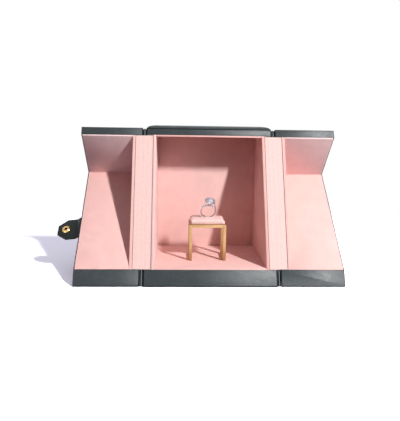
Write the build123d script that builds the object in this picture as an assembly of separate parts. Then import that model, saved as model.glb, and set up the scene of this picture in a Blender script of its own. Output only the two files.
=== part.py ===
from build123d import *
import os
from math import atan2, cos, degrees, pi, radians, sin, sqrt, tan

# Ring box: an upright case cut by a plane that leans back from its bottom front edge, two wedge
# doors hinged at the sides of that cut, a snap strap, and a brass stool that shows a ring.
# Millimetres. X to the right, Y to the back, Z up. The origin is the centre of the case's
# underside. The doors stand fully open, turned half a turn from shut, as in the rest pose.

# ---- Driving dimensions -------------------------------------------------------------------
CASE_WIDTH = 165.0
CASE_DEPTH = 145.0
CASE_HEIGHT = 190.0
LEAN = 24.0                  # degrees, how far the mouth leans back from upright
BACK_CORNER = 12.0           # radius of the two upright back corners

LEATHER = 1.0
RIM_SETBACK = 0.15           # strips and lining edges, behind the mouth plane
LINER = 0.6                  # hinge fabric
BASE = 19.2                  # leather and board under the floor lining
FLOOR_LINING = 1.6
TOP = 8.8                    # leather and board over the ceiling lining
CEILING_LINING = 2.2
SIDE = 9.4                   # leather and board of a side wall
SIDE_LINING = 3.6
BACK = 11.0                  # leather and board of the back wall
BACK_LINING = 2.0

HINGE_GAP = 4.3              # between the case and an open door
DOOR_WIDTH = 80.0
DOOR_PANEL = 8.6             # leather and board of the front panel
PANEL_LINING = 1.2
DOOR_TOP = 9.4
TOP_LINING = 1.6
LINING_MARGIN = 1.3          # leather left bare along a door's free edge
DOOR_TIP = 0.7               # the foot of the wedge is cut off at this height
SOFT_EDGE = 0.9              # radius where leather folds over an outer edge
TOP_CROWN = ((1.0, 1.2), (1.8, 1.0), (3.2, 0.8), (4.6, 0.5))   # inward and up, from the top's edge
CROWN_SETBACK = 1.05         # the crown's front edge, behind the mouth plane
LINER_ON_RIM = 9.2
LINER_END_GAP = 0.3

STRAP_WIDTH = 31.0
STRAP_HEIGHT = 91.0          # of its middle line, above the base of a shut door
STRAP_PLY = 1.2
STRAP_REACH = 33.0           # past the door's free edge
STRAP_TIP = 14.0             # width left at the chamfered tip
STRAP_CHAMFER = 12.0
STRAP_SEWN = 29.0            # length sewn to the door
STRAP_JOG = 3.3              # step that lifts the flap over the snap stud
STRAP_DROOP = 10.0           # degrees, how far the open strap hangs out of flat
JOG_START = 0.8              # past the door's free edge
JOG_LENGTH = 9.5
SNAP_FROM_EDGE = 21.4
SNAP_DIAMETER = 11.0
SNAP_RECESS = 4.0
SNAP_WEB = 0.4               # metal at the foot of the socket's recess
SNAP_ROLL = 1.4              # width of the socket's rolled outer rim
SNAP_LIP = 0.5
CAP_DOME = 1.6
STUD_DIAMETER = 9.0
STUD_POST = 3.2
STUD_FLANGE = 0.8
STUD_HEIGHT = 2.4
STUD_WAIST = 0.3             # how far the post narrows under its head

STOOL_WIDTH = 48.0
STOOL_DEPTH = 38.0
STOOL_HEIGHT = 47.4
STOOL_BAR = 4.0
STOOL_FRONT = 45.8           # from the case's bottom front edge
STOOL_X = -2.0
SEAT_BOARD = 1.2
SEAT_MARGIN = 2.75           # the seat board stands back from the stool's sides
CUSHION_MARGIN = 1.25
CUSHION_CORNER = 4.5
CUSHION_BELLY = 2.0          # height of the widest ring
CUSHION_FOOT_IN = 1.5        # how far the foot draws in
CUSHION_CROWN = 6.0
CUSHION_CROWN_IN = 9.0
SLIT_WIDTH = 3.8
SLIT_LENGTH = 20.0
SLIT_DEPTH = 1.8

RING_BORE = 17.0
RING_THICK = 1.7
RING_WIDE = 2.0
BAND_BEVEL = 0.5
BAND_EASE = 0.25
RING_X = -1.0
RING_LEAN = 27.0             # degrees towards the doors
RING_TILT = 6.5              # degrees to the right
STONE_DIAMETER = 8.0
STONE_SIDES = 16
SMALL_SIDES = 8
TABLE = 0.55                 # of a stone's radius, and so are the next two
STAR_LINE = 0.76
CULET = 0.05
CROWN_HEIGHT = 1.5
CROWN_BREAK = 0.65           # of the crown's height, where its two rows of facets meet
PAVILION = 3.3
GIRDLE = 0.3
SMALL_CROWN = 0.35
SMALL_PAVILION = 0.6
SMALL_GIRDLE = 0.1
HALO_DIAMETER = 13.2
HALO_STONES = 18
HALO_STONE = 1.7
HALO_EDGE = 0.25             # metal left outside and inside the small stones
HALO_THICK = 1.1
HEAD_RISE = 6.2              # halo's underside above the band's outside
GALLERY_RADIUS = 2.2
GALLERY_HEIGHT = 1.0
GALLERY_SUNK = 0.4           # how far the gallery goes into the band
PRONGS = 6
PRONG = 0.8
CLAW_EASE = 0.03             # how much stouter a claw's post is than its bar
CLAW_OVER = 0.7              # how far a claw stands over the halo
CLAW_OUT = 0.15              # a claw's middle, outside the stone's girdle
CLEARANCE = 0.3

# ---- Worked-out values --------------------------------------------------------------------
FRONT = -CASE_DEPTH / 2
SLOPE = tan(radians(LEAN))
HINGE_X = CASE_WIDTH / 2 + HINGE_GAP / 2
FREE_EDGE = CASE_WIDTH / 2 - DOOR_WIDTH
CEILING = CASE_HEIGHT - TOP - CEILING_LINING
FLOOR = BASE + FLOOR_LINING
INNER_X = CASE_WIDTH / 2 - SIDE - SIDE_LINING
INNER_BACK = CASE_DEPTH / 2 - BACK - BACK_LINING
BOARD_RIM = RIM_SETBACK + LINER
WRAPPED_RIM = RIM_SETBACK + LEATHER
STOOL_Y = FRONT + STOOL_FRONT + STOOL_DEPTH / 2
SEAT_Z = FLOOR + STOOL_HEIGHT
CUSHION_Z = SEAT_Z + SEAT_BOARD
STRAP_THICK = 2 * STRAP_PLY
FLEX_SHORT = 0.85
FLEX_X = -FREE_EDGE - FLEX_SHORT   # the strap bends here, just short of the free edge
SNAP_X = SNAP_FROM_EDGE - FREE_EDGE
RING_IN = RING_BORE / 2
RING_OUT = RING_IN + RING_THICK
LARGE = 400.0


# ---- Building blocks ----------------------------------------------------------------------
def block(x_range, y_range, z_range):
    """An upright block between two limits on each axis."""
    size = [high - low for low, high in (x_range, y_range, z_range)]
    middle = [(low + high) / 2 for low, high in (x_range, y_range, z_range)]
    return Pos(*middle) * Box(*size)


def side_prism(outline, x_range):
    """A prism along X over an outline of (y, z) points."""
    face = Plane.YZ.offset(x_range[0]) * Polygon(*outline, align=None)
    return extrude(face, amount=x_range[1] - x_range[0])


def mouth_y(z, behind):
    """Y of the mouth plane at a height, moved back square to itself."""
    return FRONT + z * SLOPE + behind / cos(radians(LEAN))


def behind_mouth(setback):
    """All the space at least setback behind the mouth plane."""
    low, high = -50.0, CASE_HEIGHT + 50.0
    outline = [(mouth_y(low, setback), low), (LARGE, low), (LARGE, high), (mouth_y(high, setback), high)]
    return side_prism(outline, (-LARGE, LARGE))


def before_mouth(setback):
    """All the space at least setback in front of the mouth plane."""
    low, high = -50.0, CASE_HEIGHT + 50.0
    outline = [(-LARGE, low), (mouth_y(low, -setback), low), (mouth_y(high, -setback), high), (-LARGE, high)]
    return side_prism(outline, (-LARGE, LARGE))


def case_outline(inset):
    """The case's plan with its rounded back corners, as a tall block open at the front."""
    half = CASE_WIDTH / 2 - inset
    body = block((-half, half), (FRONT - 10, CASE_DEPTH / 2 - inset), (inset, CASE_HEIGHT - inset))
    corners = body.edges().filter_by(Axis.Z).group_by(Axis.Y)[-1]
    return fillet(corners, BACK_CORNER - inset)


def soft_case_outline():
    """The case's outside, with its top and bottom edges softened as folded leather is."""
    body = case_outline(0)
    ends = body.faces().filter_by(Axis.Z)
    edges = ShapeList([edge for face in ends for edge in face.edges()])
    keep = edges.filter_by(lambda edge: edge.center().Y > FRONT - 5)
    return fillet(keep, SOFT_EDGE)


def crown(flat):
    """The padded rise of the case's top over a flat face, in tapered layers."""
    layers = []
    for inward, rise in TOP_CROWN:
        layers.append(extrude(flat, amount=rise, taper=degrees(atan2(inward, rise))))
        flat = layers[-1].faces().sort_by(Axis.Z)[-1]
    return layers[0].fuse(*layers[1:])


def slab(z_range):
    """All the space between two heights."""
    return block((-LARGE, LARGE), (-LARGE, LARGE), z_range)


def shut_to_open(shape, side):
    """Turn a door's piece half a turn about its hinge line. side is -1 on the left, 1 on the right."""
    lean = radians(LEAN)
    hinge = Axis((side * HINGE_X, FRONT, 0), (0, sin(lean), cos(lean)))
    return shape.rotate(hinge, 180)


def mirrored(shape):
    return mirror(shape, about=Plane.YZ)


# ---- Case ---------------------------------------------------------------------------------
def case_boards():
    """The five boards inside the leather."""
    outline = case_outline(LEATHER)
    back_y = CASE_DEPTH / 2 - BACK
    wall_x = CASE_WIDTH / 2 - SIDE
    walls = (BASE, CASE_HEIGHT - TOP)
    ends = outline & behind_mouth(WRAPPED_RIM)
    top = ends & slab((CASE_HEIGHT - TOP, CASE_HEIGHT - LEATHER))
    side = outline & behind_mouth(BOARD_RIM) & block((-LARGE, -wall_x), (-LARGE, back_y), walls)
    return {
        "base_board": ends & slab((LEATHER, BASE)),
        "top_board": top + crown(top.faces().sort_by(Axis.Z)[-1]),
        "back_board": outline & block((-LARGE, LARGE), (back_y, LARGE), walls),
        "left_side_board": side,
        "right_side_board": mirrored(side),
    }


def case_covers(boards):
    """The leather: one sheet under the base and up its front strip, one round all the rest."""
    outside = soft_case_outline()
    ends = outside & behind_mouth(RIM_SETBACK)
    wall_x = CASE_WIDTH / 2 - SIDE
    hollow = block((-wall_x, wall_x), (-LARGE, CASE_DEPTH / 2 - BACK), (BASE, CASE_HEIGHT - TOP))
    walls = (outside & behind_mouth(BOARD_RIM) & slab((BASE, CASE_HEIGHT - TOP))) - hollow
    pad = crown((outside & behind_mouth(CROWN_SETBACK)).faces().sort_by(Axis.Z)[-1])
    leather = (ends & slab((0, BASE))) + (ends & slab((CASE_HEIGHT - TOP, CASE_HEIGHT))) + pad + walls
    for board in boards.values():
        leather -= board
    front_strip = before_mouth(-WRAPPED_RIM) & slab((0, BASE))
    under = leather & (slab((-1, LEATHER)) + front_strip)
    return {"base_cover": under, "case_cover": leather - under}


def case_linings():
    """Fabric-covered cards on the five inner faces. Their edges show in the mouth."""
    inside = behind_mouth(RIM_SETBACK)
    back_y = CASE_DEPTH / 2 - BACK
    width = (-INNER_X, INNER_X)
    depth = (-LARGE, INNER_BACK)
    walls = (BASE, CASE_HEIGHT - TOP)
    side = inside & block((-INNER_X - SIDE_LINING, -INNER_X), (-LARGE, back_y), walls)
    return {
        "floor_lining": inside & block(width, depth, (BASE, FLOOR)),
        "ceiling_lining": inside & block(width, depth, (CEILING, CASE_HEIGHT - TOP)),
        "back_lining": block(width, (INNER_BACK, back_y), walls),
        "left_side_lining": side,
        "right_side_lining": mirrored(side),
    }


def hinge_liner(before):
    """Half of the left hinge fabric, glued to one rim and reaching almost to the hinge line."""
    x_range = (-HINGE_X + RIM_SETBACK, LINER_ON_RIM - CASE_WIDTH / 2)
    z_range = (BASE + LINER_END_GAP, CASE_HEIGHT - DOOR_TOP - LINER_END_GAP)
    band = before_mouth if before else behind_mouth
    strip = (band(RIM_SETBACK) - band(BOARD_RIM)) & block(x_range, (-LARGE, LARGE), z_range)
    clear_y = FRONT + DOOR_PANEL + LINER_END_GAP
    return strip & block(x_range, (clear_y, LARGE), z_range) if before else strip


# ---- Doors, built shut and on the left -------------------------------------------------------
def door_box(inset):
    """The outside of a shut door before the lean is cut, with softened outer edges."""
    body = block(
        (inset - CASE_WIDTH / 2, -FREE_EDGE - inset), (FRONT + inset, LARGE), (DOOR_TIP, CASE_HEIGHT - inset)
    )
    if inset:
        return body
    front = body.faces().sort_by(Axis.Y)[0].edges().filter_by(lambda edge: edge.center().Z > 2 * DOOR_TIP)
    top = body.faces().sort_by(Axis.Z)[-1].edges().filter_by(Axis.Y)
    return fillet(front + top, SOFT_EDGE)


def door_slabs():
    """The panel, the top and the hinge side of a door, each leather and board together."""
    panel = block((-LARGE, LARGE), (-LARGE, FRONT + DOOR_PANEL), (-LARGE, LARGE))
    top = block((-LARGE, LARGE), (-LARGE, LARGE), (CASE_HEIGHT - DOOR_TOP, LARGE))
    side = block((-LARGE, SIDE - CASE_WIDTH / 2), (-LARGE, LARGE), (-LARGE, LARGE))
    return panel, top, side


def door_boards():
    panel, top, side = door_slabs()
    core = door_box(LEATHER)
    wrapped = core & before_mouth(WRAPPED_RIM)
    return {
        "panel_board": wrapped & panel,
        "top_board": (wrapped & top) - panel,
        "side_board": (core & before_mouth(BOARD_RIM) & side) - panel - top,
    }


def door_cover(boards):
    """The leather round a door's outside, its strips at the mouth and its free edges."""
    panel, top, side = door_slabs()
    outside = door_box(0)
    ends = outside & before_mouth(RIM_SETBACK) & (panel + top)
    leather = ends + ((outside & before_mouth(BOARD_RIM) & side) - panel - top)
    for board in boards.values():
        leather -= board
    return leather


def door_linings():
    """Fabric-covered cards on the door's three inner faces."""
    inside = before_mouth(RIM_SETBACK)
    panel_y = FRONT + DOOR_PANEL
    lining_y = panel_y + PANEL_LINING
    roof = CASE_HEIGHT - DOOR_TOP
    width = (-INNER_X, -FREE_EDGE - LINING_MARGIN)
    wall = (-INNER_X - SIDE_LINING, -INNER_X)
    return {
        "panel_lining": inside & block(width, (panel_y, lining_y), (0, roof - TOP_LINING)),
        "top_lining": inside & block(width, (panel_y, LARGE), (roof - TOP_LINING, roof)),
        "side_lining": inside & block(wall, (panel_y, LARGE), (0, roof)),
    }


def door_pieces(side):
    """All the pieces of one open door. side is -1 on the left, 1 on the right."""
    boards = door_boards()
    pieces = dict(boards)
    pieces["cover"] = door_cover(boards)
    pieces.update(door_linings())
    pieces["hinge_liner"] = hinge_liner(before=True)
    name = "left_door" if side < 0 else "right_door"
    placed = {}
    for key, shape in pieces.items():
        own = shape if side < 0 else mirrored(shape)
        placed[f"{name}_{key}"] = shut_to_open(own, side)
    return placed


# ---- Strap and snap, built flat across the shut doors -------------------------------------------
def jog_curve(offset):
    """Points of the flap's section at an offset from its inner face: straight, two arcs, straight."""
    start = FLEX_X + RIM_SETBACK
    rise = JOG_START - FREE_EDGE
    level = rise + JOG_LENGTH
    end = STRAP_REACH - FREE_EDGE
    slope = STRAP_JOG / JOG_LENGTH
    turn_cos = (1 - slope**2) / (1 + slope**2)
    turn_sin = 2 * slope / (1 + slope**2)
    radius = JOG_LENGTH / 2 / turn_sin
    middle = ((rise + level) / 2 - offset * turn_sin, STRAP_JOG / 2 + offset * turn_cos)
    half_sin = sqrt((1 - turn_cos) / 2)
    half_cos = sqrt((1 + turn_cos) / 2)
    first_bend = (rise + (radius - offset) * half_sin, radius - (radius - offset) * half_cos)
    second_radius = radius + offset
    second_bend = (level - second_radius * half_sin, STRAP_JOG - radius + second_radius * half_cos)
    return {
        "start": (start, offset),
        "rise": (rise, offset),
        "first_bend": first_bend,
        "middle": middle,
        "second_bend": second_bend,
        "level": (level, STRAP_JOG + offset),
        "end": (end, STRAP_JOG + offset),
    }


def flap_section(low, high):
    """The closed section of one ply, in X and outward distance from the doors' face."""
    inner = jog_curve(low)
    outer = jog_curve(high)
    lines = Line(inner["start"], outer["start"]) + Line(outer["end"], inner["end"])
    for curve in (inner, outer):
        lines += Line(curve["start"], curve["rise"])
        lines += ThreePointArc(curve["rise"], curve["first_bend"], curve["middle"])
        lines += ThreePointArc(curve["middle"], curve["second_bend"], curve["level"])
        lines += Line(curve["level"], curve["end"])
    return make_face(lines)


def strap_outline():
    """The flap from the front: parallel sides and a chamfered tip, as a deep block."""
    half = STRAP_WIDTH / 2
    tip = STRAP_REACH - FREE_EDGE
    shoulder = tip - STRAP_CHAMFER
    root = -FREE_EDGE - LARGE / 4
    outline = [
        (root, -half), (shoulder, -half), (tip, -STRAP_TIP / 2),
        (tip, STRAP_TIP / 2), (shoulder, half), (root, half),
    ]
    face = Plane.XZ * Pos(0, STRAP_HEIGHT) * Polygon(*outline, align=None)
    return extrude(face, amount=LARGE, both=True)


def flap_ply(low, high):
    """One leather ply of the flap. Outward is towards -Y."""
    section_plane = Plane((0, FRONT, STRAP_HEIGHT), x_dir=(1, 0, 0), z_dir=(0, 0, 1))
    section = section_plane * mirror(flap_section(low, high), about=Plane.XZ)
    return extrude(section, amount=STRAP_WIDTH / 2, both=True) & strap_outline()


def on_snap_axis(body, outward):
    """Lay a turned part on the snap's axis, its foot at an outward distance from the doors."""
    return Pos(SNAP_X, FRONT - outward, STRAP_HEIGHT) * Rot(90, 0, 0) * body


def turned(outline, outward):
    """A turned part of the snap, from (radius, outward height) points."""
    face = make_face(Polyline(*outline, close=True))
    return on_snap_axis(revolve(Plane.XZ * face, axis=Axis.Z), outward)


def snap_socket():
    """The socket half: a flange against the leather and a rolled rim round the recess."""
    outer = SNAP_DIAMETER / 2
    recess = SNAP_RECESS / 2
    drop = STRAP_JOG - CLEARANCE - STUD_FLANGE
    rolled = outer - SNAP_ROLL
    outline = [
        (recess, -SNAP_WEB), (recess + SNAP_LIP, -drop), (rolled, -drop), (outer - SNAP_LIP, SNAP_LIP - drop),
        (outer, -2 * SNAP_WEB), (outer, 0), (0, 0), (0, -SNAP_WEB),
    ]
    return turned(outline, STRAP_JOG)


def snap_cap():
    """The low domed cap on the flap's outer face."""
    rim = SNAP_DIAMETER / 2
    dome = [(rim * cos(radians(turn)), CAP_DOME * sin(radians(turn))) for turn in (10, 30, 50, 70)]
    return turned([(0, 0), (rim, 0)] + dome + [(0, CAP_DOME)], STRAP_JOG + STRAP_THICK)


def snap_stud():
    """The stud half on the right door: a flange and a waisted post."""
    flange = STUD_DIAMETER / 2
    post = STUD_POST / 2
    waist = post - STUD_WAIST
    neck = (STUD_FLANGE + STUD_HEIGHT) / 2 - STUD_WAIST
    outline = [
        (0, 0), (flange, 0), (flange, STUD_FLANGE / 2), (flange - STUD_FLANGE, STUD_FLANGE),
        (waist, STUD_FLANGE), (waist, neck), (post, neck + 2 * STUD_WAIST),
        (waist, STUD_HEIGHT), (0, STUD_HEIGHT),
    ]
    return turned(outline, 0)


def strap_pieces():
    """The sewn part, the flap's two plies and the snap's halves on it, on the open left door."""
    half = STRAP_WIDTH / 2
    z_range = (STRAP_HEIGHT - half, STRAP_HEIGHT + half)
    sewn_end = FLEX_X - RIM_SETBACK
    sewn = block((sewn_end - STRAP_SEWN, sewn_end), (FRONT - STRAP_THICK, FRONT), z_range)
    flap = {
        "strap_inner_ply": flap_ply(0, STRAP_PLY),
        "strap_outer_ply": flap_ply(STRAP_PLY, STRAP_THICK),
        "snap_socket": snap_socket(),
        "snap_cap": snap_cap(),
    }
    flex_line = Axis((FLEX_X, FRONT - STRAP_THICK, 0), (0, 0, 1))
    placed = {name: shut_to_open(shape.rotate(flex_line, -STRAP_DROOP), -1) for name, shape in flap.items()}
    placed["strap_sewn_end"] = shut_to_open(sewn, -1)
    return placed


# ---- Stool ------------------------------------------------------------------------------------
def stool_bars():
    """Ten square brass bars: four legs, four top rails and two floor rails at the sides."""
    half_width = STOOL_WIDTH / 2
    half_depth = STOOL_DEPTH / 2
    bar = STOOL_BAR
    low, high = FLOOR, SEAT_Z
    left = (STOOL_X - half_width, STOOL_X - half_width + bar)
    right = (STOOL_X + half_width - bar, STOOL_X + half_width)
    front = (STOOL_Y - half_depth, STOOL_Y - half_depth + bar)
    back = (STOOL_Y + half_depth - bar, STOOL_Y + half_depth)
    across = (left[1], right[0])
    along = (front[1], back[0])
    bars = {
        "stool_front_rail": block(across, front, (high - bar, high)),
        "stool_back_rail": block(across, back, (high - bar, high)),
    }
    for side, x_range in (("left", left), ("right", right)):
        bars[f"stool_{side}_front_leg"] = block(x_range, front, (low, high))
        bars[f"stool_{side}_back_leg"] = block(x_range, back, (low, high))
        bars[f"stool_{side}_top_rail"] = block(x_range, along, (high - bar, high))
        bars[f"stool_{side}_floor_rail"] = block(x_range, along, (low, low + bar))
    return bars


def cushion():
    """A pad with drawn-in sides, a low crown and a slit that grips the ring."""
    rings = []
    for turn in (90, 60, 30):
        height = CUSHION_BELLY * (1 - sin(radians(turn)))
        rings.append((height, CUSHION_MARGIN + CUSHION_FOOT_IN * (1 - cos(radians(turn)))))
    for turn in range(0, 91, 15):
        height = CUSHION_BELLY + (CUSHION_CROWN - CUSHION_BELLY) * sin(radians(turn))
        rings.append((height, CUSHION_MARGIN + CUSHION_CROWN_IN * (1 - cos(radians(turn)))))
    sections = []
    for height, inward in rings:
        section = RectangleRounded(STOOL_WIDTH - 2 * inward, STOOL_DEPTH - 2 * inward, CUSHION_CORNER)
        sections.append(Pos(0, 0, height) * section)
    pad = loft(sections, ruled=True)
    slit = block(
        (-SLIT_LENGTH / 2, SLIT_LENGTH / 2),
        (-SLIT_WIDTH / 2, SLIT_WIDTH / 2),
        (CUSHION_CROWN - SLIT_DEPTH, 2 * CUSHION_CROWN),
    )
    return Pos(STOOL_X, STOOL_Y, CUSHION_Z) * (pad - slit)


def stool_pieces():
    seat = Box(STOOL_WIDTH - 2 * SEAT_MARGIN, STOOL_DEPTH - 2 * SEAT_MARGIN, SEAT_BOARD)
    seat = Pos(STOOL_X, STOOL_Y, SEAT_Z + SEAT_BOARD / 2) * seat
    pieces = stool_bars()
    pieces["stool_seat_board"] = seat
    pieces["stool_cushion"] = cushion()
    return pieces


# ---- Ring, built upright with its hole along Y and its centre at the origin -----------------------
def ring_band():
    """A plain band with bevelled edges and an eased bore."""
    half = RING_WIDE / 2
    section = [
        (RING_IN, half - BAND_EASE), (RING_IN + BAND_EASE, half), (RING_OUT - BAND_BEVEL, half),
        (RING_OUT, half - BAND_BEVEL), (RING_OUT, BAND_BEVEL - half), (RING_OUT - BAND_BEVEL, -half),
        (RING_IN + BAND_EASE, -half), (RING_IN, BAND_EASE - half),
    ]
    return Rot(90, 0, 0) * revolve(Plane.XZ * make_face(Polyline(*section, close=True)), axis=Axis.Z)


def facets(sides, radius, end_radius, height):
    """A many-sided frustum with flat facets, standing on the XY plane."""
    draw_in = (radius - end_radius) * cos(pi / sides)
    return extrude(RegularPolygon(radius, sides), amount=height, taper=degrees(atan2(draw_in, height)))


def cut_stone(diameter, sides, crown_height, pavilion, girdle):
    """A brilliant with its girdle's foot on the XY plane: two rows of crown facets and a pavilion."""
    radius = diameter / 2
    lower = Rot(180, 0, 0) * facets(sides, radius, CULET * radius, pavilion)
    band = extrude(RegularPolygon(radius, sides), amount=girdle)
    shoulder = STAR_LINE * radius
    meet = CROWN_BREAK * crown_height
    main = Pos(0, 0, girdle) * facets(sides, radius, shoulder, meet)
    star = Pos(0, 0, girdle + meet) * facets(sides, shoulder, TABLE * radius, crown_height - meet)
    return lower + band + main + star


def prong(gallery_z, claw_z):
    """One claw: a leaning bar from the gallery, then upright past the girdle to a faceted tip."""
    lean_in = STONE_DIAMETER / 2 + CLAW_OUT - GALLERY_RADIUS
    rise = claw_z - gallery_z
    bar_length = sqrt(lean_in**2 + rise**2)
    bar = Cylinder(PRONG / 2, bar_length, align=(Align.CENTER, Align.CENTER, Align.MIN))
    bar = Pos(GALLERY_RADIUS, 0, gallery_z) * Rot(0, degrees(atan2(lean_in, rise)), 0) * bar
    stout = PRONG / 2 + CLAW_EASE
    post = extrude(RegularPolygon(stout, SMALL_SIDES), amount=HALO_THICK + CLAW_OVER)
    tip = Pos(0, 0, HALO_THICK + CLAW_OVER) * facets(SMALL_SIDES, stout, PRONG / 4, PRONG / 3)
    return bar + Pos(GALLERY_RADIUS + lean_in, 0, claw_z) * (post + tip)


def head_pieces():
    """The halo plate with its gallery and prongs, the centre stone and the small stones."""
    halo_z = RING_OUT + HEAD_RISE
    face_z = halo_z + HALO_THICK
    stone = Pos(0, 0, face_z) * cut_stone(STONE_DIAMETER, STONE_SIDES, CROWN_HEIGHT, PAVILION, GIRDLE)
    seat_radius = (HALO_DIAMETER - HALO_STONE) / 2 - HALO_EDGE
    small = cut_stone(HALO_STONE, SMALL_SIDES, SMALL_CROWN, SMALL_PAVILION, SMALL_GIRDLE)
    small = Pos(seat_radius, 0, face_z) * small
    halo_stones = [Rot(0, 0, 360 / HALO_STONES * turn) * small for turn in range(HALO_STONES)]
    plate = extrude(Circle(HALO_DIAMETER / 2) - Circle(STONE_DIAMETER / 2 - HALO_EDGE), amount=HALO_THICK)
    head = Pos(0, 0, halo_z) * plate
    for seated in halo_stones:
        head -= seated
    foot_z = RING_OUT - GALLERY_SUNK
    gallery_z = foot_z + GALLERY_HEIGHT - CLEARANCE
    wall = PRONG / 2
    gallery = extrude(Circle(GALLERY_RADIUS + wall) - Circle(GALLERY_RADIUS - wall), amount=GALLERY_HEIGHT)
    head += Pos(0, 0, foot_z) * gallery
    for turn in range(PRONGS):
        head += Rot(0, 0, 360 / PRONGS * (turn + 0.5)) * prong(gallery_z, halo_z)
    head -= stone
    head -= Rot(90, 0, 0) * Cylinder(RING_OUT, 3 * RING_WIDE)
    return {"ring_head": head, "centre_stone": stone, "halo_stones": Compound(children=halo_stones)}


def ring_pieces():
    """The ring, leaning a little, with its foot in the cushion's slit."""
    pieces = {"ring_band": ring_band()}
    pieces.update(head_pieces())
    lean = radians(RING_LEAN)
    reach_down = RING_OUT * cos(lean) + RING_WIDE / 2 * sin(lean)
    centre_z = CUSHION_Z + CUSHION_CROWN - SLIT_DEPTH + CLEARANCE + reach_down
    centre_y = STOOL_Y - (RING_OUT - SLIT_DEPTH / 2) * sin(lean)
    place = Pos(RING_X, centre_y, centre_z) * Rot(RING_LEAN, 0, 0) * Rot(0, RING_TILT, 0)
    return {name: place * shape for name, shape in pieces.items()}


# ---- Assembly -----------------------------------------------------------------------------------
def all_pieces():
    boards = case_boards()
    pieces = dict(boards)
    pieces.update(case_covers(boards))
    pieces.update(case_linings())
    case_liner = hinge_liner(before=False)
    pieces["left_case_hinge_liner"] = case_liner
    pieces["right_case_hinge_liner"] = mirrored(case_liner)
    pieces.update(door_pieces(-1))
    pieces.update(door_pieces(1))
    pieces.update(strap_pieces())
    pieces["snap_stud"] = shut_to_open(snap_stud(), 1)
    pieces.update(stool_pieces())
    pieces.update(ring_pieces())
    return pieces


os.makedirs("parts", exist_ok=True)
for node, piece in all_pieces().items():
    export_step(piece, f"parts/{node}.step")
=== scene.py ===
import math

import bmesh
import bpy
from mathutils import Matrix, Vector, noise


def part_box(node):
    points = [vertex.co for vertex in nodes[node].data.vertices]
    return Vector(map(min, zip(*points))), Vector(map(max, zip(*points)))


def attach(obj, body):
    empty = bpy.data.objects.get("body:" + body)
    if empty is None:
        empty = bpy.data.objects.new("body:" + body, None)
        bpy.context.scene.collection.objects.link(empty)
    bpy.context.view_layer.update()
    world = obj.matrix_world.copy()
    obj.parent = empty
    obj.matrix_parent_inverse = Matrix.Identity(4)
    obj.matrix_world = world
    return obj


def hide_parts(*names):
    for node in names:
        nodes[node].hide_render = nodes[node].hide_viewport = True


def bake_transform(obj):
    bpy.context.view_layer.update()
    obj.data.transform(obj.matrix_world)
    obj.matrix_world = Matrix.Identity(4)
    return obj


# The looks of the ring box: slate leather, pink suede, hinge fabric, a brass stool and a ring.
# Metres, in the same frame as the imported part. The doors stand open, as packed.

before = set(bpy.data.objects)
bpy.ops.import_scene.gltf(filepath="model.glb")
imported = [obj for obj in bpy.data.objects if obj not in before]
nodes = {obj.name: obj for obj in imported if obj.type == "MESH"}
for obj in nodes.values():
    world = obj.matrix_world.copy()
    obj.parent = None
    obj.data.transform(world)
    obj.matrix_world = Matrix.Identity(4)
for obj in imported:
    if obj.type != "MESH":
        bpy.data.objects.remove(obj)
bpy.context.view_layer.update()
MM = 0.001

# ---- Sizes of the case's mouth ----------------------------------------------------------------
LEAN = math.radians(24)      # how far the mouth plane leans back from upright
FRONT = -0.0725              # the case's bottom front edge
CASE_HEIGHT = 0.19           # without the padded top
HINGE_X = 0.08465
RIM_END = 0.0825             # the case's side, where the hinge's gap starts
GAP_END = 2 * HINGE_X - RIM_END
RIM_FACE = -0.00015          # the rim's leather, in front of the mouth plane
UP_MOUTH = Vector((0, math.sin(LEAN), math.cos(LEAN)))
OUT_MOUTH = Vector((0, -math.cos(LEAN), math.sin(LEAN)))
RIM_HEAD = CASE_HEIGHT / math.cos(LEAN)
LINER_FOOT, LINER_HEAD = [corner.z / math.cos(LEAN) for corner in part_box("left_case_hinge_liner")]
SIDES = ((-1, "left"), (1, "right"))


# ---- Colours and node helpers ---------------------------------------------------------------
def srgb(red, green, blue):
    """A colour written as 0 to 255 values, for a shader's socket."""
    part = [value / 255 for value in (red, green, blue)]
    return (*[((c + 0.055) / 1.055) ** 2.4 if c > 0.04045 else c / 12.92 for c in part], 1.0)


def shade(colour, factor):
    """The colour made lighter or darker."""
    return srgb(*[min(255, value * factor) for value in colour])


class Nodes:
    """Short ways to add nodes to a material's or the world's tree."""

    def __init__(self, tree):
        self.tree = tree

    def add(self, kind, inputs=None, **settings):
        node = self.tree.nodes.new(kind)
        for key, value in settings.items():
            setattr(node, key, value)
        for key, value in (inputs or {}).items():
            if isinstance(value, bpy.types.NodeSocket):
                self.tree.links.new(value, node.inputs[key])
            else:
                node.inputs[key].default_value = value
        return node

    def spread(self, value, low, high, to_low=0.0, to_high=1.0):
        found = {"Value": value, "From Min": low, "From Max": high, "To Min": to_low, "To Max": to_high}
        return self.add("ShaderNodeMapRange", found).outputs["Result"]

    def sums(self, kind, first, second):
        return self.add("ShaderNodeMath", {0: first, 1: second}, operation=kind).outputs[0]

    def times(self, first, second):
        return self.sums("MULTIPLY", first, second)

    def mix(self, share, first, second):
        """Two colours, by the share of the second."""
        return self.add("ShaderNodeMix", {0: share, 6: first, 7: second}, data_type="RGBA").outputs[2]

    def seen(self):
        """1 for the rays that show the floor or the sky, and 0 for those that light the box."""
        rays = self.add("ShaderNodeLightPath").outputs
        direct = self.sums("MAXIMUM", rays["Is Camera Ray"], rays["Is Glossy Ray"])
        return self.sums("MAXIMUM", direct, rays["Is Transmission Ray"])


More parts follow.
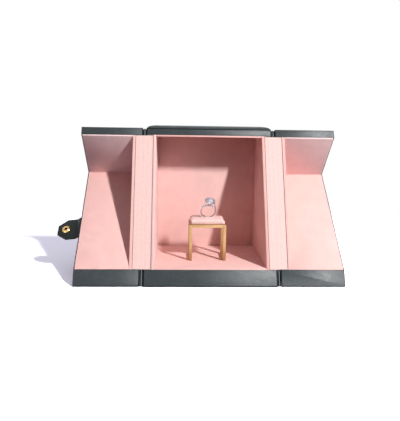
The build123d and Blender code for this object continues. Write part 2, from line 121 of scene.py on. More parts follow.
class Look(Nodes):
    """A material, with the values of its shader's sockets."""

    def __init__(self, name, **sockets):
        self.material = bpy.data.materials.new(name)
        self.material.use_nodes = True
        super().__init__(self.material.node_tree)
        self.shader = self.tree.nodes["Principled BSDF"]
        self.place = self.add("ShaderNodeTexCoord").outputs["Object"]
        for socket, value in sockets.items():
            self.shader.inputs[socket.replace("_", " ")].default_value = value

    def noise(self, scale, detail=2.0, rough=0.5, place=None):
        found = {"Vector": place or self.place, "Scale": scale, "Detail": detail, "Roughness": rough}
        return self.add("ShaderNodeTexNoise", found).outputs["Fac"]

    def stretched(self, scale):
        return self.add("ShaderNodeMapping", {"Vector": self.place, "Scale": scale}).outputs["Vector"]

    def edges(self, radius):
        """1 on an edge and 0 a radius away from it."""
        rounded = self.add("ShaderNodeBevel", {"Radius": radius}, samples=6).outputs["Normal"]
        flat = self.add("ShaderNodeNewGeometry").outputs["Normal"]
        meet = self.add("ShaderNodeVectorMath", {0: rounded, 1: flat}, operation="DOT_PRODUCT")
        return self.spread(meet.outputs["Value"], 0.997, 0.9)

    def bump(self, height, depth, strength):
        node = self.add("ShaderNodeBump", {"Height": height, "Distance": depth, "Strength": strength})
        self.tree.links.new(node.outputs["Normal"], self.shader.inputs["Normal"])

    def set(self, socket, value):
        self.tree.links.new(value, self.shader.inputs[socket])


# ---- Materials -------------------------------------------------------------------------------
def leather(name, colour, rough, gloss):
    """Pebbled leather, darker along its turned edges."""
    look = Look(name, Roughness=rough, Specular_IOR_Level=gloss)
    cells = look.add("ShaderNodeTexVoronoi", {"Vector": look.place, "Scale": 1050.0, "Smoothness": 0.35},
                     feature="SMOOTH_F1").outputs["Distance"]
    pebble = look.spread(cells, 0.1, 0.7, 1.0, 0.0)
    folds = look.noise(190.0, 4.0, 0.65)
    broad = look.noise(30.0, 3.0, 0.55)
    edge = look.edges(0.0013)
    tone = look.mix(look.spread(broad, 0.35, 0.65), shade(colour, 0.92), shade(colour, 1.09))
    tone = look.mix(look.times(look.spread(cells, 0.3, 0.75), 0.4), tone, srgb(26, 30, 32))
    tone = look.mix(look.times(look.spread(folds, 0.45, 0.75), 0.3), tone, srgb(34, 39, 42))
    tone = look.mix(look.times(edge, 0.85), tone, srgb(30, 33, 34))
    look.set("Base Color", tone)
    look.set("Roughness", look.spread(folds, 0.3, 0.7, rough - 0.04, rough + 0.06))
    look.bump(look.sums("ADD", look.times(pebble, 0.8), folds), 0.00016, 0.6)
    return look.material


def suede(name, colour, sheen=0.25, nap=1.0):
    """Short nap with faint strokes and patches."""
    look = Look(name, Roughness=0.92, Specular_IOR_Level=0.15, Sheen_Weight=sheen, Sheen_Roughness=0.45)
    fibre = look.noise(2600.0, 2.0, 0.6)
    stroke = look.noise(1.0, 3.0, 0.55, look.stretched((70.0, 70.0, 64.0)))
    patch = look.noise(26.0, 3.0, 0.55)
    light, dark = shade(colour, 1.02), shade(colour, 1 - 0.03 * nap)
    tone = look.mix(look.spread(stroke, 0.3, 0.7), dark, light)
    tone = look.mix(look.times(look.spread(patch, 0.35, 0.7), 0.5), tone, dark)
    tone = look.mix(look.times(fibre, 0.1), tone, light)
    look.set("Base Color", tone)
    look.bump(look.sums("ADD", fibre, look.times(stroke, 0.4)), 0.0001, 0.3)
    return look.material


def woven(name, colour):
    """Grosgrain: fine ribs across and a softer streak along."""
    look = Look(name, Roughness=0.85, Specular_IOR_Level=0.2, Sheen_Weight=0.2, Sheen_Roughness=0.5)
    along = look.noise(1.0, 3.0, 0.6, look.stretched((900.0, 900.0, 30.0)))
    ribs = look.add("ShaderNodeTexWave", {"Vector": look.place, "Scale": 410.0, "Distortion": 0.6},
                    bands_direction="Z").outputs["Fac"]
    dark = shade(colour, 0.94)
    tone = look.mix(look.spread(along, 0.3, 0.7), dark, shade(colour, 1.02))
    tone = look.mix(look.times(ribs, 0.06), tone, dark)
    look.set("Base Color", tone)
    look.bump(look.sums("ADD", along, look.times(ribs, 0.3)), 0.0001, 0.35)
    return look.material


def metal(name, colour, rough, brushed=0.0):
    """Metal with fine scratches, brighter along its edges."""
    look = Look(name, Metallic=1.0, Roughness=rough)
    scratches = look.noise(1.0, 3.0, 0.6, look.stretched((700.0, 700.0, 90.0)))
    cloud = look.noise(90.0, 3.0, 0.5)
    edge = look.edges(0.0004)
    tone = look.mix(look.spread(cloud, 0.3, 0.7), shade(colour, 0.95), srgb(*colour))
    tone = look.mix(look.times(edge, 0.4), tone, shade(colour, 1.12))
    look.set("Base Color", tone)
    look.set("Roughness", look.spread(scratches, 0.3, 0.7, rough * 0.9, rough * 1.2))
    look.bump(scratches, 0.00002, 0.2 + brushed)
    return look.material


def card(name, colour):
    """Matt fibre: board, edge paint and seams."""
    look = Look(name, Roughness=0.9, Specular_IOR_Level=0.12)
    fibre = look.noise(420.0, 4.0, 0.7)
    look.set("Base Color", look.mix(look.spread(fibre, 0.3, 0.7), shade(colour, 0.88), srgb(*colour)))
    look.bump(fibre, 0.0001, 0.4)
    return look.material


def gem(name):
    """A clear cut stone with a slight haze."""
    look = Look(name, Roughness=0.03, IOR=2.2, Transmission_Weight=0.55)
    haze = look.noise(500.0, 2.0, 0.5)
    look.set("Base Color", look.mix(haze, srgb(214, 210, 226), srgb(248, 246, 252)))
    return look.material


LEATHER = leather("slate_leather", (56, 64, 66), 0.38, 0.34)
# A paler copy of the slate leather: painted light on the hinges' beads.
BEAD_LEATHER_PAINTED_LIGHT = leather("bead_leather_painted_light", (112, 119, 120), 0.45, 0.3)
# A darker copy of the slate leather: painted shade on the strap.
STRAP_LEATHER_PAINTED_SHADE = leather("strap_leather_painted_shade", (28, 34, 33), 0.46, 0.16)
# Near-black card: edge paint on the rims' lines, and painted shade on the hinges' channels.
EDGE_PAINT_AND_GAP_SHADE = card("edge_paint_and_gap_shade", (16, 18, 19))
SUEDE = suede("pink_suede", (237, 190, 183))
# Lit and shaded copies of the pink suede: painted light on the back, the left side and the doors' tops,
# painted shade on the ceiling and the right side.
SUEDE_PAINTED_LIGHT_WALLS = suede("suede_painted_light_walls", (239, 200, 194))
SUEDE_PAINTED_SHADE = suede("suede_painted_shade", (234, 182, 174))
SUEDE_PAINTED_LIGHT_TOPS = suede("suede_painted_light_tops", (247, 214, 213))
SEAM = card("seam", (142, 104, 97))
CUSHION_SUEDE = suede("cushion_suede", (242, 201, 194), 0.3, 1.4)
FABRIC = woven("hinge_fabric", (243, 205, 198))
BRASS = metal("satin_brass", (188, 150, 106), 0.42, 0.2)
SNAP_BRASS = metal("snap_brass", (214, 176, 118), 0.22)
# A dark copy of the brass: painted shade in the snap socket's recess.
SNAP_PAINTED_SHADE = metal("snap_painted_shade", (70, 54, 34), 0.45)
WHITE_METAL = metal("white_metal", (188, 183, 188), 0.18)
BOARD = card("board", (150, 146, 138))
SEAT_BOARD = card("seat_board", (196, 160, 150))
STONE = gem("clear_stone")


# ---- Mesh helpers --------------------------------------------------------------------------
def new_object(name, mesh, *materials):
    """An object in the scene, with the mesh and its materials."""
    piece = bpy.data.objects.new(name, mesh)
    bpy.context.scene.collection.objects.link(piece)
    piece.data.materials.clear()
    for material in materials:
        piece.data.materials.append(material)
    return piece


def mesh_of(name, points, faces):
    mesh = bpy.data.meshes.new(name)
    mesh.from_pydata([tuple(point) for point in points], [], faces)
    mesh.validate()
    return mesh


def solid_mesh(name, points, faces, merge=None):
    """A closed mesh: near points joined within the merge distance, and normals turned outwards."""
    mesh = mesh_of(name, points, faces)
    work = bmesh.new()
    work.from_mesh(mesh)
    if merge:
        bmesh.ops.remove_doubles(work, verts=work.verts, dist=merge)
    bmesh.ops.recalc_face_normals(work, faces=work.faces)
    work.to_mesh(mesh)
    work.free()
    return mesh


def sheet_faces(across, along):
    """The faces of a thin sheet whose points are a front grid, then a back grid, row by row."""
    row = across + 1
    total = row * (along + 1)
    faces = []
    for j in range(along):
        for i in range(across):
            a = j * row + i
            faces.append((a, a + 1, a + row + 1, a + row))
            faces.append(tuple(total + k for k in (a, a + row, a + row + 1, a + 1)))
    near_side = [j * row for j in range(along + 1)]
    far_side = [j * row + across for j in range(along + 1)]
    first_row = list(range(row))
    last_row = [along * row + i for i in range(row)]
    for line in (near_side, far_side, first_row, last_row):
        faces += [(a, b, total + b, total + a) for a, b in zip(line, line[1:])]
    return faces


def tube_faces(start, rings, count):
    """The faces of a closed rod: rings of points one after another, with a cap at each end."""
    faces = []
    for k in range(rings - 1):
        for turn in range(count):
            a, b = start + k * count + turn, start + k * count + (turn + 1) % count
            faces.append((a, b, b + count, a + count))
    last = start + rings * count - 1
    faces.append(tuple(start + turn for turn in range(count)))
    faces.append(tuple(last - turn for turn in range(count)))
    return faces


def smooth(piece, angle=32):
    piece.data.shade_smooth()
    piece.data.set_sharp_from_angle(angle=math.radians(angle))


def wear(piece, body, slot, *replaced):
    """The piece rides on a body and stands for its CAD nodes; its slot is not used."""
    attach(piece, body)
    if replaced:
        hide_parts(*replaced)
    return piece


def on_mouth(x, along, out):
    """A point by its place on the mouth plane and its height in front of it."""
    return Vector((x, FRONT, 0)) + UP_MOUTH * along + OUT_MOUTH * out


def softened(node, material, width, segments=2, angle=35):
    """A copy of a CAD node's mesh with clean faces and rounded edges."""
    work = bmesh.new()
    work.from_mesh(nodes[node].data)
    bmesh.ops.remove_doubles(work, verts=work.verts, dist=0.000002)
    bmesh.ops.dissolve_limit(work, angle_limit=math.radians(0.6), verts=work.verts, edges=work.edges)
    mesh = bpy.data.meshes.new(node)
    work.to_mesh(mesh)
    work.free()
    piece = new_object(f"{node}_finish", mesh, material)
    bevel = piece.modifiers.new("bevel", "BEVEL")
    bevel.width = width
    bevel.segments = segments
    bevel.limit_method = "ANGLE"
    bevel.angle_limit = math.radians(angle)
    bevel.use_clamp_overlap = True
    graph = bpy.context.evaluated_depsgraph_get()
    rounded = bpy.data.meshes.new_from_object(piece.evaluated_get(graph))
    piece.modifiers.clear()
    piece.data = rounded
    smooth(piece)
    return piece


# ---- Leather, linings and boards -----------------------------------------------------------------
FOLD = 0.0004                # radius of the leather's and the linings' edges

for node, body in (("base_cover", "case"), ("case_cover", "case"),
                   ("left_door_cover", "left_door"), ("right_door_cover", "right_door")):
    wear(softened(node, LEATHER, FOLD), body, "slate_leather", node)

# One suede in four shades, each lining's chosen by trial against the photograph: the deeper shade is painted
# shade on the ceiling and the right side, and the two paler ones are painted light on the back, the left
# side and the doors' tops.
SUEDE_LIGHT_AND_SHADE_COPIES = {
    "back_lining": SUEDE_PAINTED_LIGHT_WALLS, "left_side_lining": SUEDE_PAINTED_LIGHT_WALLS,
    "ceiling_lining": SUEDE_PAINTED_SHADE, "right_side_lining": SUEDE_PAINTED_SHADE,
    "left_door_top_lining": SUEDE_PAINTED_LIGHT_TOPS, "right_door_top_lining": SUEDE_PAINTED_LIGHT_TOPS,
}
for body, names in (
    ("case", ("floor_lining", "ceiling_lining", "back_lining", "left_side_lining", "right_side_lining")),
    ("left_door", ("left_door_panel_lining", "left_door_top_lining", "left_door_side_lining")),
    ("right_door", ("right_door_panel_lining", "right_door_top_lining", "right_door_side_lining")),
):
    for node in names:
        wear(softened(node, SUEDE_LIGHT_AND_SHADE_COPIES.get(node, SUEDE), FOLD), body, "pink_suede", node)

for node, piece in nodes.items():
    if node.endswith("_board"):
        piece.data.materials.clear()
        piece.data.materials.append(SEAT_BOARD if node == "stool_seat_board" else BOARD)


# ---- Hinges ----------------------------------------------------------------------------------
FABRIC_FRONT = -0.00035      # from the mouth plane, and so are the next three
FABRIC_BACK = -0.00078
CHANNEL = -0.00195
SPINE_BACK = -0.0025
RIBS = 4
RIB = 0.00005                # height of the fabric's ribs, and of its drift
BEAD = 0.00105
BEAD_MORE = 0.0005           # how much prouder the bead is past the fabric's ends
BEAD_HALF = 0.23             # of the channel's width
SPINE_EASE = 0.00006         # between the spine and the gap's sides
RIM_EASE = 0.0012            # between the spine's or the line's end and the rim's


def hinge_ribbon(side, name):
    """One strip of fabric from the case's rim to the door's, with soft ribs along it."""
    low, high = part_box(f"{name}_case_hinge_liner")
    inner = min(abs(low.x), abs(high.x))
    outer = max(abs(corner.x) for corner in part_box(f"{name}_door_hinge_liner"))
    foot = low.z / math.cos(LEAN) + 0.0004
    head = high.z / math.cos(LEAN) - 0.0002
    across, along = 28, 44
    points = []
    for front in (True, False):
        for j in range(along + 1):
            s = foot + (head - foot) * j / along
            for i in range(across + 1):
                t = i / across
                rib = RIB * math.cos(t * math.tau * RIBS) * math.sin(math.pi * t) ** 0.5
                drift = RIB * noise.noise(Vector((t * 3, s * 60, side * 4.0)))
                out = FABRIC_FRONT + rib + drift if front else FABRIC_BACK
                points.append(on_mouth(side * (inner + (outer - inner) * t), s, out))
    mesh = solid_mesh("ribbon", points, sheet_faces(across, along))
    piece = new_object(f"{name}_hinge_fabric", mesh, FABRIC)
    smooth(piece, 50)
    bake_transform(piece)
    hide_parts(f"{name}_case_hinge_liner", f"{name}_door_hinge_liner")


def hinge_spine(side, name):
    """The leather in a hinge's gap, behind the fabric: a channel painted near black as shade, and a bead
    along its middle in a paler copy of the leather as painted light.
    """
    inner, outer = RIM_END + SPINE_EASE, GAP_END - SPINE_EASE
    across, along = 24, 40
    points = []
    for front in (True, False):
        for j in range(along + 1):
            s = RIM_EASE + (RIM_HEAD - 2 * RIM_EASE) * j / along
            past_fabric = min(1.0, max(0.0, LINER_FOOT - s, s - LINER_HEAD) / 0.002)
            for i in range(across + 1):
                t = i / across
                bead = max(0.0, 1 - ((t - 0.5) / BEAD_HALF) ** 2) ** 0.5
                out = CHANNEL + (BEAD + BEAD_MORE * past_fabric) * bead if front else SPINE_BACK
                points.append(on_mouth(side * (inner + (outer - inner) * t), s, out))
    mesh = solid_mesh("spine", points, sheet_faces(across, along))
    piece = new_object(f"{name}_hinge_spine", mesh, BEAD_LEATHER_PAINTED_LIGHT, EDGE_PAINT_AND_GAP_SHADE)
    # Outward faces beside the bead take the near-black card as painted shade; the bead keeps the paler
    # leather as painted light.
    for face in piece.data.polygons:
        beside_bead = abs(abs(face.center.x) - HINGE_X) > 0.001
        face.material_index = 1 if beside_bead and face.normal.dot(OUT_MOUTH) > 0 else 0
    smooth(piece, 60)
    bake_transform(piece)


for side, name in SIDES:
    hinge_ribbon(side, name)
for side, name in SIDES:
    hinge_spine(side, name)


# ---- Seams and painted edges -----------------------------------------------------------------
SEAM_WIDTH = 0.0006
LINE = 0.0011                # width of a line of edge paint
LINE_IN = 0.0002             # from the line to the leather's side
LINE_GAP = 0.0006            # from the line's end to the hinge fabric
LINE_THICK = 0.00007
LINE_FOOT = 0.00001          # how far its borders stand clear of the rim


def painted_line(name, body, path, width, material=EDGE_PAINT_AND_GAP_SHADE):
    """A thin raised line on the rim, along points (x, along the mouth)."""
    section = ((1, LINE_FOOT), (0.8, LINE_THICK), (-0.8, LINE_THICK), (-1, LINE_FOOT))
    points = []
    for k, (x, s) in enumerate(path):
        before, after = Vector(path[max(0, k - 1)]), Vector(path[min(len(path) - 1, k + 1)])
        way = (after - before).normalized()
        aside = Vector((-way.y, way.x)) * width / 2
        for shift, out in section:
            points.append(on_mouth(x + aside.x * shift, s + aside.y * shift, RIM_FACE + out))
    faces = tube_faces(0, len(path), len(section))
    wear(new_object(name, solid_mesh(name, points, faces), material), body, "slate_leather")


def rounded_path(corners, radius):
    """The corners of a line, with a curve in place of each inner one."""
    found = [corners[0]]
    for before, corner, after in zip(corners, corners[1:], corners[2:]):
        corner = Vector(corner)
        start = corner + (Vector(before) - corner).normalized() * radius
        end = corner + (Vector(after) - corner).normalized() * radius
        for k in range(7):
            t = k / 6
            found.append(tuple(start.lerp(corner, t).lerp(corner.lerp(end, t), t)))
    return found + [corners[-1]]


def seams(side, name):
    """The seams beside a hinge's fabric, on the case and on the door."""
    near = side * min(abs(corner.x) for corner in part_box(f"{name}_case_hinge_liner"))
    far = side * max(abs(corner.x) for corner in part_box(f"{name}_door_hinge_liner"))
    for place, body, x in (("case", "case", near), ("door", f"{name}_door", far)):
        painted_line(f"{name}_{place}_seam", body, [(x, LINER_FOOT), (x, LINER_HEAD)], SEAM_WIDTH, SEAM)


def edge_lines():
    """Edge paint round the case's rim and the doors' rims, past the ends of the hinge fabric."""
    case_x = RIM_END - LINE / 2 - LINE_IN
    door_x = GAP_END + LINE / 2 + LINE_IN
    door_end = abs(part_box("left_door_cover")[0].x) - 0.0006
    above, below = LINER_HEAD + LINE_GAP, LINER_FOOT - LINE_GAP
    head, foot, door_head = RIM_HEAD - 0.0009, RIM_EASE, RIM_HEAD - 0.0012
    head_radius, foot_radius = 0.0034, 0.0008
    painted_line("case_head_line", "case", rounded_path(
        [(-case_x, above), (-case_x, head), (case_x, head), (case_x, above)], head_radius), LINE)
    painted_line("case_foot_line", "case", rounded_path(
        [(-case_x, below), (-case_x, foot), (case_x, foot), (case_x, below)], foot_radius), LINE)
    for side, name in SIDES:
        x, end = side * door_x, side * door_end
        painted_line(f"{name}_door_head_line", f"{name}_door", [(x, above), (x, door_head)], LINE)
        painted_line(f"{name}_door_foot_line", f"{name}_door",
                     rounded_path([(x, below), (x, foot), (end, foot)], foot_radius), LINE)


for side, name in SIDES:
    seams(side, name)
edge_lines()

# ---- Strap and snap --------------------------------------------------------------------------
# The strap wears the darker copy of the slate leather, which paints shade on it.
for node, body in (("strap_sewn_end", "left_door"),
                   ("strap_inner_ply", "strap"), ("strap_outer_ply", "strap")):
    wear(softened(node, STRAP_LEATHER_PAINTED_SHADE, 0.0003), body, "slate_leather", node)

SNAP_RADIUS = 5.5            # mm
RECESS = 0.002               # radius inside which the socket is painted dark, as shade in its recess
SOCKET_PROFILE = (           # radius in mm, and height as a share of the socket's
    (0.0, 0.16), (1.5, 0.16), (1.95, 0.22), (2.05, 0.8), (2.35, 0.95), (2.8, 1.0), (3.6, 1.0),
    (4.2, 0.93), (4.7, 0.72), (5.0, 0.5), (5.35, 0.42), (SNAP_RADIUS, 0.3), (SNAP_RADIUS, 0.0), (0.0, 0.0),
)
STUD_PROFILE = (             # radius and height in mm
    (0.0, 0.0), (4.5, 0.0), (4.5, 0.3), (4.3, 0.5), (3.7, 0.8), (1.5, 0.85), (1.3, 1.0), (1.3, 1.3),
    (1.5, 1.7), (1.6, 1.95), (1.45, 2.25), (1.0, 2.4), (0.0, 2.4),
)


def lathe(name, profile, foot, axis, *materials, dark_below=None):
    """A turned form from (radius, height) points; faces inside the dark radius take the second material,
    which paints shade there.
    """
    turns = 40
    aside = axis.orthogonal().normalized()
    other = axis.cross(aside)
    points, faces = [], []
    for turn in range(turns):
        angle = math.tau * turn / turns
        out = aside * math.cos(angle) + other * math.sin(angle)
        points += [foot + out * radius + axis * height for radius, height in profile]
    count = len(profile)
    for turn in range(turns):
        for step in range(count - 1):
            a = turn * count + step
            b = ((turn + 1) % turns) * count + step
            faces.append((a, b, b + 1, a + 1))
    piece = new_object(name, solid_mesh(name, points, faces, merge=0.000001), *materials)
    if dark_below is not None:
        for face in piece.data.polygons:
            gap = face.center - foot
            flat = gap - axis * gap.dot(axis)
            face.material_index = 1 if flat.length < dark_below else 0
    smooth(piece, 40)
    return piece


def disc_place(node, wanted):
    """A round node's foot, the direction of its flat faces nearer to the wanted one, and its height."""
    mesh = nodes[node].data
    widest = max(mesh.polygons, key=lambda face: face.area).normal
    total = Vector()
    for face in mesh.polygons:
        along = face.normal.dot(widest)
        if abs(along) > 0.999:
            total += face.normal * face.area * (1 if along > 0 else -1)
    axis = total.normalized()
    if axis.dot(Vector(wanted)) <= 0:
        axis = -axis
    heights = [vertex.co.dot(axis) for vertex in mesh.vertices]
    low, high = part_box(node)
    foot = (low + high) / 2
    foot += axis * (min(heights) - foot.dot(axis))
    return foot, axis, max(heights) - min(heights)


def snap_socket():
    foot, axis, tall = disc_place("snap_socket", (0, -1, 0))
    profile = [(radius * MM, share * tall) for radius, share in SOCKET_PROFILE]
    piece = lathe("snap_socket_finish", profile, foot, axis, SNAP_BRASS, SNAP_PAINTED_SHADE, dark_below=RECESS)
    wear(piece, "strap", "snap_brass", "snap_socket")


def snap_cap():
    foot, axis, tall = disc_place("snap_cap", (0, 1, 0))
    wide = SNAP_RADIUS * MM
    dome = [(wide * math.cos(math.radians(a)), tall * math.sin(math.radians(a))) for a in range(6, 90, 7)]
    profile = [(0.0, 0.0), (wide, 0.0), *dome, (0.0, tall)]
    wear(lathe("snap_cap_finish", profile, foot, axis, SNAP_BRASS), "strap", "snap_brass", "snap_cap")


def snap_stud():
    foot, axis, _ = disc_place("snap_stud", (0, 1, 0))
    profile = [(radius * MM, height * MM) for radius, height in STUD_PROFILE]
    wear(lathe("snap_stud_finish", profile, foot, axis, SNAP_BRASS), "right_door", "snap_brass", "snap_stud")


snap_socket()
snap_cap()
snap_stud()

# ---- Stool -----------------------------------------------------------------------------------
for node in nodes:
    if node.startswith("stool_") and node.endswith(("_leg", "_rail")):
        wear(softened(node, BRASS, 0.00035, segments=3), "case", "brass", node)

DRAWN_IN = 0.0007            # how far the cushion's sides pull in between its corners
CORNER = 0.0045
SKIRT = 0.0014               # height of its side's foot, and how far in its underside droops
DROOP = 0.0009               # of the underside's border, round the seat board
DROOP_WALL = 0.0008
ROLL = 0.009                 # width of its rolled edge
SAG = 0.0002                 # of the crown towards the corners
LUMPS = 0.0001
SLIT_HALF = 0.0016
SLIT_HALF_LENGTH = 0.0092
SLIT_SIDE = 0.0016           # width of the slit's sloping side
SLIT_DEEP = 0.0023
LIP_PLACE = (0.001, -0.0038)     # x and y from the cushion's middle, where the ring leans out
LIP_HALF = (0.0056, 0.0016)
LIP_HIGH = 0.0011


def cushion():
    """A low padded block: a crowned top with a slit and its lip, a rolled edge and drawn-in sides."""
    low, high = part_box("stool_cushion")
    centre = (low + high) / 2
    half_x = (high.x - low.x) / 2
    half_y = (high.y - low.y) / 2

    def outline(u, v):
        x = u * half_x - DRAWN_IN * (1 - v * v) * u ** 6 * math.copysign(1, u)
        y = v * half_y - DRAWN_IN * (1 - u * u) * v ** 6 * math.copysign(1, v)
        over_x, over_y = abs(x) - (half_x - CORNER), abs(y) - (half_y - CORNER)
        over = math.hypot(over_x, over_y)
        if over_x > 0 and over_y > 0 and over > CORNER:
            x = math.copysign(half_x - CORNER + over_x * CORNER / over, x)
            y = math.copysign(half_y - CORNER + over_y * CORNER / over, y)
        return x, y

    def underside(edge_in):
        if edge_in < SKIRT:
            return low.z - DROOP + (DROOP + SKIRT) * (1 - min(1.0, edge_in / DROOP_WALL)) ** 2
        return low.z + 0.00002

    def crown(u, v, edge_in):
        roll = min(1.0, edge_in / ROLL)
        rise = math.sqrt(max(0.0, 1 - (1 - roll) ** 2)) ** 0.9
        z = low.z + SKIRT + (high.z - low.z - SKIRT) * rise
        z -= SAG * (u * u + v * v)
        return z + LUMPS * noise.noise(Vector((u * 2.4, v * 2.4, 3.0)))

    def slit(x, y):
        aside, past_end = max(0.0, abs(y) - SLIT_HALF), max(0.0, abs(x) - SLIT_HALF_LENGTH)
        sink = max(0.0, 1 - math.hypot(aside, past_end) / SLIT_SIDE)
        lip = 1.0
        for value, middle, half in zip((x, y), LIP_PLACE, LIP_HALF):
            lip *= max(0.0, 1 - ((value - middle) / half) ** 2)
        return LIP_HIGH * lip - SLIT_DEEP * (sink * sink * (3 - 2 * sink))

    def surface(u, v, top):
        x, y = outline(u, v)
        edge_in = min((1 - abs(u)) * half_x, (1 - abs(v)) * half_y)
        z = crown(u, v, edge_in) + slit(x, y) if top else underside(edge_in)
        return Vector((centre.x + x, centre.y + y, z))

    count = 56
    columns = [math.sin(math.pi / 2 * (2 * k / count - 1)) for k in range(count + 1)]
    slit_rows = [round(k * 0.0004 / half_y, 5) for k in range(-10, 11)]
    rows = sorted(set([round(v, 5) for v in columns] + slit_rows))
    points = [surface(u, v, top) for top in (True, False) for v in rows for u in columns]
    row = len(columns)
    total = row * len(rows)
    faces = []
    for j in range(len(rows) - 1):
        for i in range(row - 1):
            a = j * row + i
            quad = (a, a + 1, a + row + 1, a + row)
            faces.append(quad)
            faces.append(tuple(total + k for k in quad[::-1]))
    piece = new_object("cushion_pad", solid_mesh("cushion", points, faces, merge=0.00002), CUSHION_SUEDE)
    smooth(piece, 70)
    wear(piece, "case", "cushion_suede", "stool_cushion")


cushion()

# ---- Ring ------------------------------------------------------------------------------------
RING_LOW, RING_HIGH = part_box("ring_band")
RING_PLACE = (
    Matrix.Translation((RING_LOW + RING_HIGH) / 2)
    @ Matrix.Rotation(math.radians(27), 4, "X")
    @ Matrix.Rotation(math.radians(6.5), 4, "Y")
)
BAND_MIDDLE = 9.35 * MM      # radius
BAND_HALF_THICK = 0.85 * MM
BAND_HALF_WIDE = 1.0 * MM
ARM_PATH = ((8.7, 4.4), (8.0, 7.6), (6.9, 10.6), (5.8, 13.2), (5.0, 15.3))   # mm, aside and up
ARM_HALF_THICK = 0.72        # mm, and so are the next two
ARM_HALF_WIDE = 0.95
ARM_TAPER = 0.08             # from one point of the path to the next


def rounded_power(value, power):
    return math.copysign(abs(value) ** power, value)


def ring_band():
    """A comfort-fit band: rounded inside and out."""
    turns, count = 96, 20
    section = []
    for turn in range(count):
        angle = math.tau * turn / count
        wide = BAND_HALF_WIDE * rounded_power(math.sin(angle), 0.75)
        section.append((BAND_MIDDLE + BAND_HALF_THICK * rounded_power(math.cos(angle), 0.9), wide))
    points, faces = [], []
    for step in range(turns):
        angle = math.tau * step / turns
        for radius, wide in section:
            points.append(RING_PLACE @ Vector((radius * math.cos(angle), wide, radius * math.sin(angle))))
    for step in range(turns):
        here, there = step * count, ((step + 1) % turns) * count
        for k in range(count):
            after = (k + 1) % count
            faces.append((here + k, there + k, there + after, here + after))
    piece = new_object("ring_band_finish", solid_mesh("band", points, faces), WHITE_METAL)
    smooth(piece, 60)
    wear(piece, "ring", "white_metal", "ring_band")


def ring_arms():
    """The two shoulders that rise from the band to the head's gallery."""
    count = 8
    points, faces = [], []
    for side in (-1, 1):
        path = [Vector((side * aside, 0, up)) for aside, up in ARM_PATH]
        faces += tube_faces(len(points), len(path), count)
        for k, spot in enumerate(path):
            before, after = path[max(0, k - 1)], path[min(len(path) - 1, k + 1)]
            way = (after - before).normalized()
            thick = Vector((-way.z, 0, way.x)) * ARM_HALF_THICK
            wide = Vector((0, ARM_HALF_WIDE - ARM_TAPER * k, 0))
            for turn in range(count):
                angle = math.tau * turn / count
                out = thick * math.cos(angle) + wide * math.sin(angle)
                points.append(RING_PLACE @ ((spot + out) * MM))
    piece = new_object("ring_arms", solid_mesh("arms", points, faces), WHITE_METAL)
    smooth(piece, 50)
    wear(piece, "ring", "white_metal")


ring_band()
ring_arms()
wear(softened("ring_head", WHITE_METAL, 0.00008, angle=40), "ring", "white_metal", "ring_head")
for node in ("centre_stone", "halo_stones"):
    nodes[node].data.materials.clear()
    nodes[node].data.materials.append(STONE)


# ---- Studio ------------------------------------------------------------------------------------
WHITE = (1, 1, 1, 1)
FLOOR_BOUNCE = (0.05, 0.045, 0.055, 1)   # the floor's colour for the light that it gives
FLOOR_SEEN = (1.9, 1.97, 2.12, 1)        # and where it is seen
FLOOR_FADE = (0.34, 0.62)                # from the middle, where the floor turns plain white
SKY_ZENITH = 0.42
SKY_TINT = (0.98, 0.9, 1.0, 1)
MIDDLE = (0, -0.01, 0.09)
RIGHT_TOP = (0.125, 0.0, 0.16)
LEFT_TOP = (-0.125, 0.0, 0.16)


def studio_floor():
    points = [(-4, -4, 0), (4, -4, 0), (4, 6, 0), (-4, 6, 0)]
    look = Look("studio_floor", Roughness=1.0, Specular_IOR_Level=0.0)
    share = look.seen()
    look.set("Base Color", look.mix(share, FLOOR_BOUNCE, FLOOR_SEEN))
    length = look.add("ShaderNodeVectorMath", {0: look.place}, operation="LENGTH").outputs["Value"]
    far = look.times(share, look.spread(length, *FLOOR_FADE))
    glow = look.add("ShaderNodeEmission", {"Color": WHITE, "Strength": 1.0}).outputs[0]
    both = look.add("ShaderNodeMixShader", {0: far, 1: look.shader.outputs[0], 2: glow}).outputs[0]
    look.tree.links.new(both, look.tree.nodes["Material Output"].inputs["Surface"])
    floor = new_object("studio_floor", mesh_of("floor", points, [(0, 1, 2, 3)]), look.material)
    floor.location.z = -0.00004


def lamp(name, spot, away, distance, wide, tall, level, tint):
    """A soft box in a direction from a spot, at the level that it gives there."""
    made = bpy.data.objects.new(name, bpy.data.lights.new(name, "AREA"))
    bpy.context.scene.collection.objects.link(made)
    away = Vector(away).normalized()
    made.data.shape = "RECTANGLE"
    made.data.size = wide
    made.data.size_y = tall
    made.data.color = tint
    made.data.energy = level * math.pi * distance ** 2
    made.location = Vector(spot) + away * distance
    made.visible_camera = False
    made.rotation_mode = "QUATERNION"
    made.rotation_quaternion = (-away).to_track_quat("-Z", "Y")


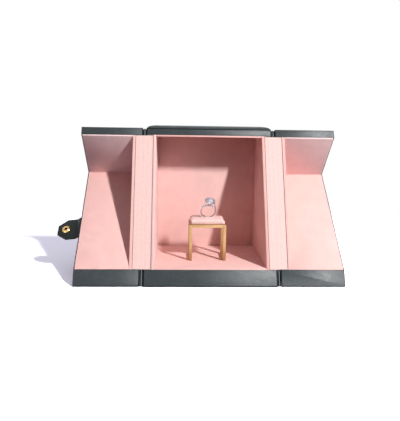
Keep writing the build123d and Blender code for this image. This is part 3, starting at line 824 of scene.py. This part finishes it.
def studio_light():
    """A hard key from the upper right, low lamps for the doors' tops, and weak ones behind."""
    lamp("key", MIDDLE, (0.79, -1.0, 0.965), 2.6, 0.1, 0.27, 3.8, (1, 1, 1))
    lamp("right_fill", MIDDLE, (0.69, -0.58, 0.42), 0.75, 0.3, 0.25, 0.08, (0.95, 0.95, 1.0))
    lamp("right_low", RIGHT_TOP, (0.175, -0.2, -0.13), 0.29, 0.1, 0.1, 0.62, (0.94, 0.94, 1.0))
    lamp("left_low", LEFT_TOP, (-0.2, -0.19, -0.125), 0.3, 0.1, 0.1, 0.3, (1.0, 0.85, 0.98))
    lamp("left_back", MIDDLE, (-0.85, 0.8, 0.2), 1.5, 0.6, 0.4, 0.4, (0.93, 0.95, 1.0))
    lamp("right_back", MIDDLE, (0.85, 0.8, 0.2), 1.5, 0.6, 0.4, 0.4, (0.93, 0.95, 1.0))


def studio_sky():
    """Black at the horizon and brighter overhead for the light it gives, and white where it is seen."""
    world = bpy.data.worlds.new("studio")
    bpy.context.scene.world = world
    world.use_nodes = True
    sky = Nodes(world.node_tree)
    way = sky.add("ShaderNodeTexCoord").outputs["Generated"]
    height = sky.add("ShaderNodeSeparateXYZ", {0: way}).outputs["Z"]
    rise = sky.spread(height, 0.0, 1.0, 0.0, SKY_ZENITH)
    seen = sky.seen()
    level = sky.add("ShaderNodeMix", {0: seen, 2: rise, 3: 1.0}, data_type="FLOAT").outputs[0]
    background = world.node_tree.nodes["Background"]
    world.node_tree.links.new(level, background.inputs["Strength"])
    world.node_tree.links.new(sky.mix(seen, SKY_TINT, WHITE), background.inputs["Color"])


def camera():
    """The photograph's camera, as fitted to the box's edges."""
    lens = bpy.data.cameras.new("camera")
    lens.sensor_width = 36
    lens.lens = 42.81
    eye = bpy.data.objects.new("camera", lens)
    bpy.context.scene.collection.objects.link(eye)
    turn = (
        Matrix.Rotation(math.radians(-2.7586), 4, "Z")
        @ Matrix.Rotation(math.radians(90 - 9.495), 4, "X")
        @ Matrix.Rotation(math.radians(0.9008), 4, "Z")
    )
    eye.matrix_world = Matrix.Translation((-0.0427, -0.65636, 0.19236)) @ turn
    bpy.context.scene.camera = eye


studio_floor()
studio_light()
studio_sky()
camera()
bpy.context.scene.view_settings.view_transform = "Standard"
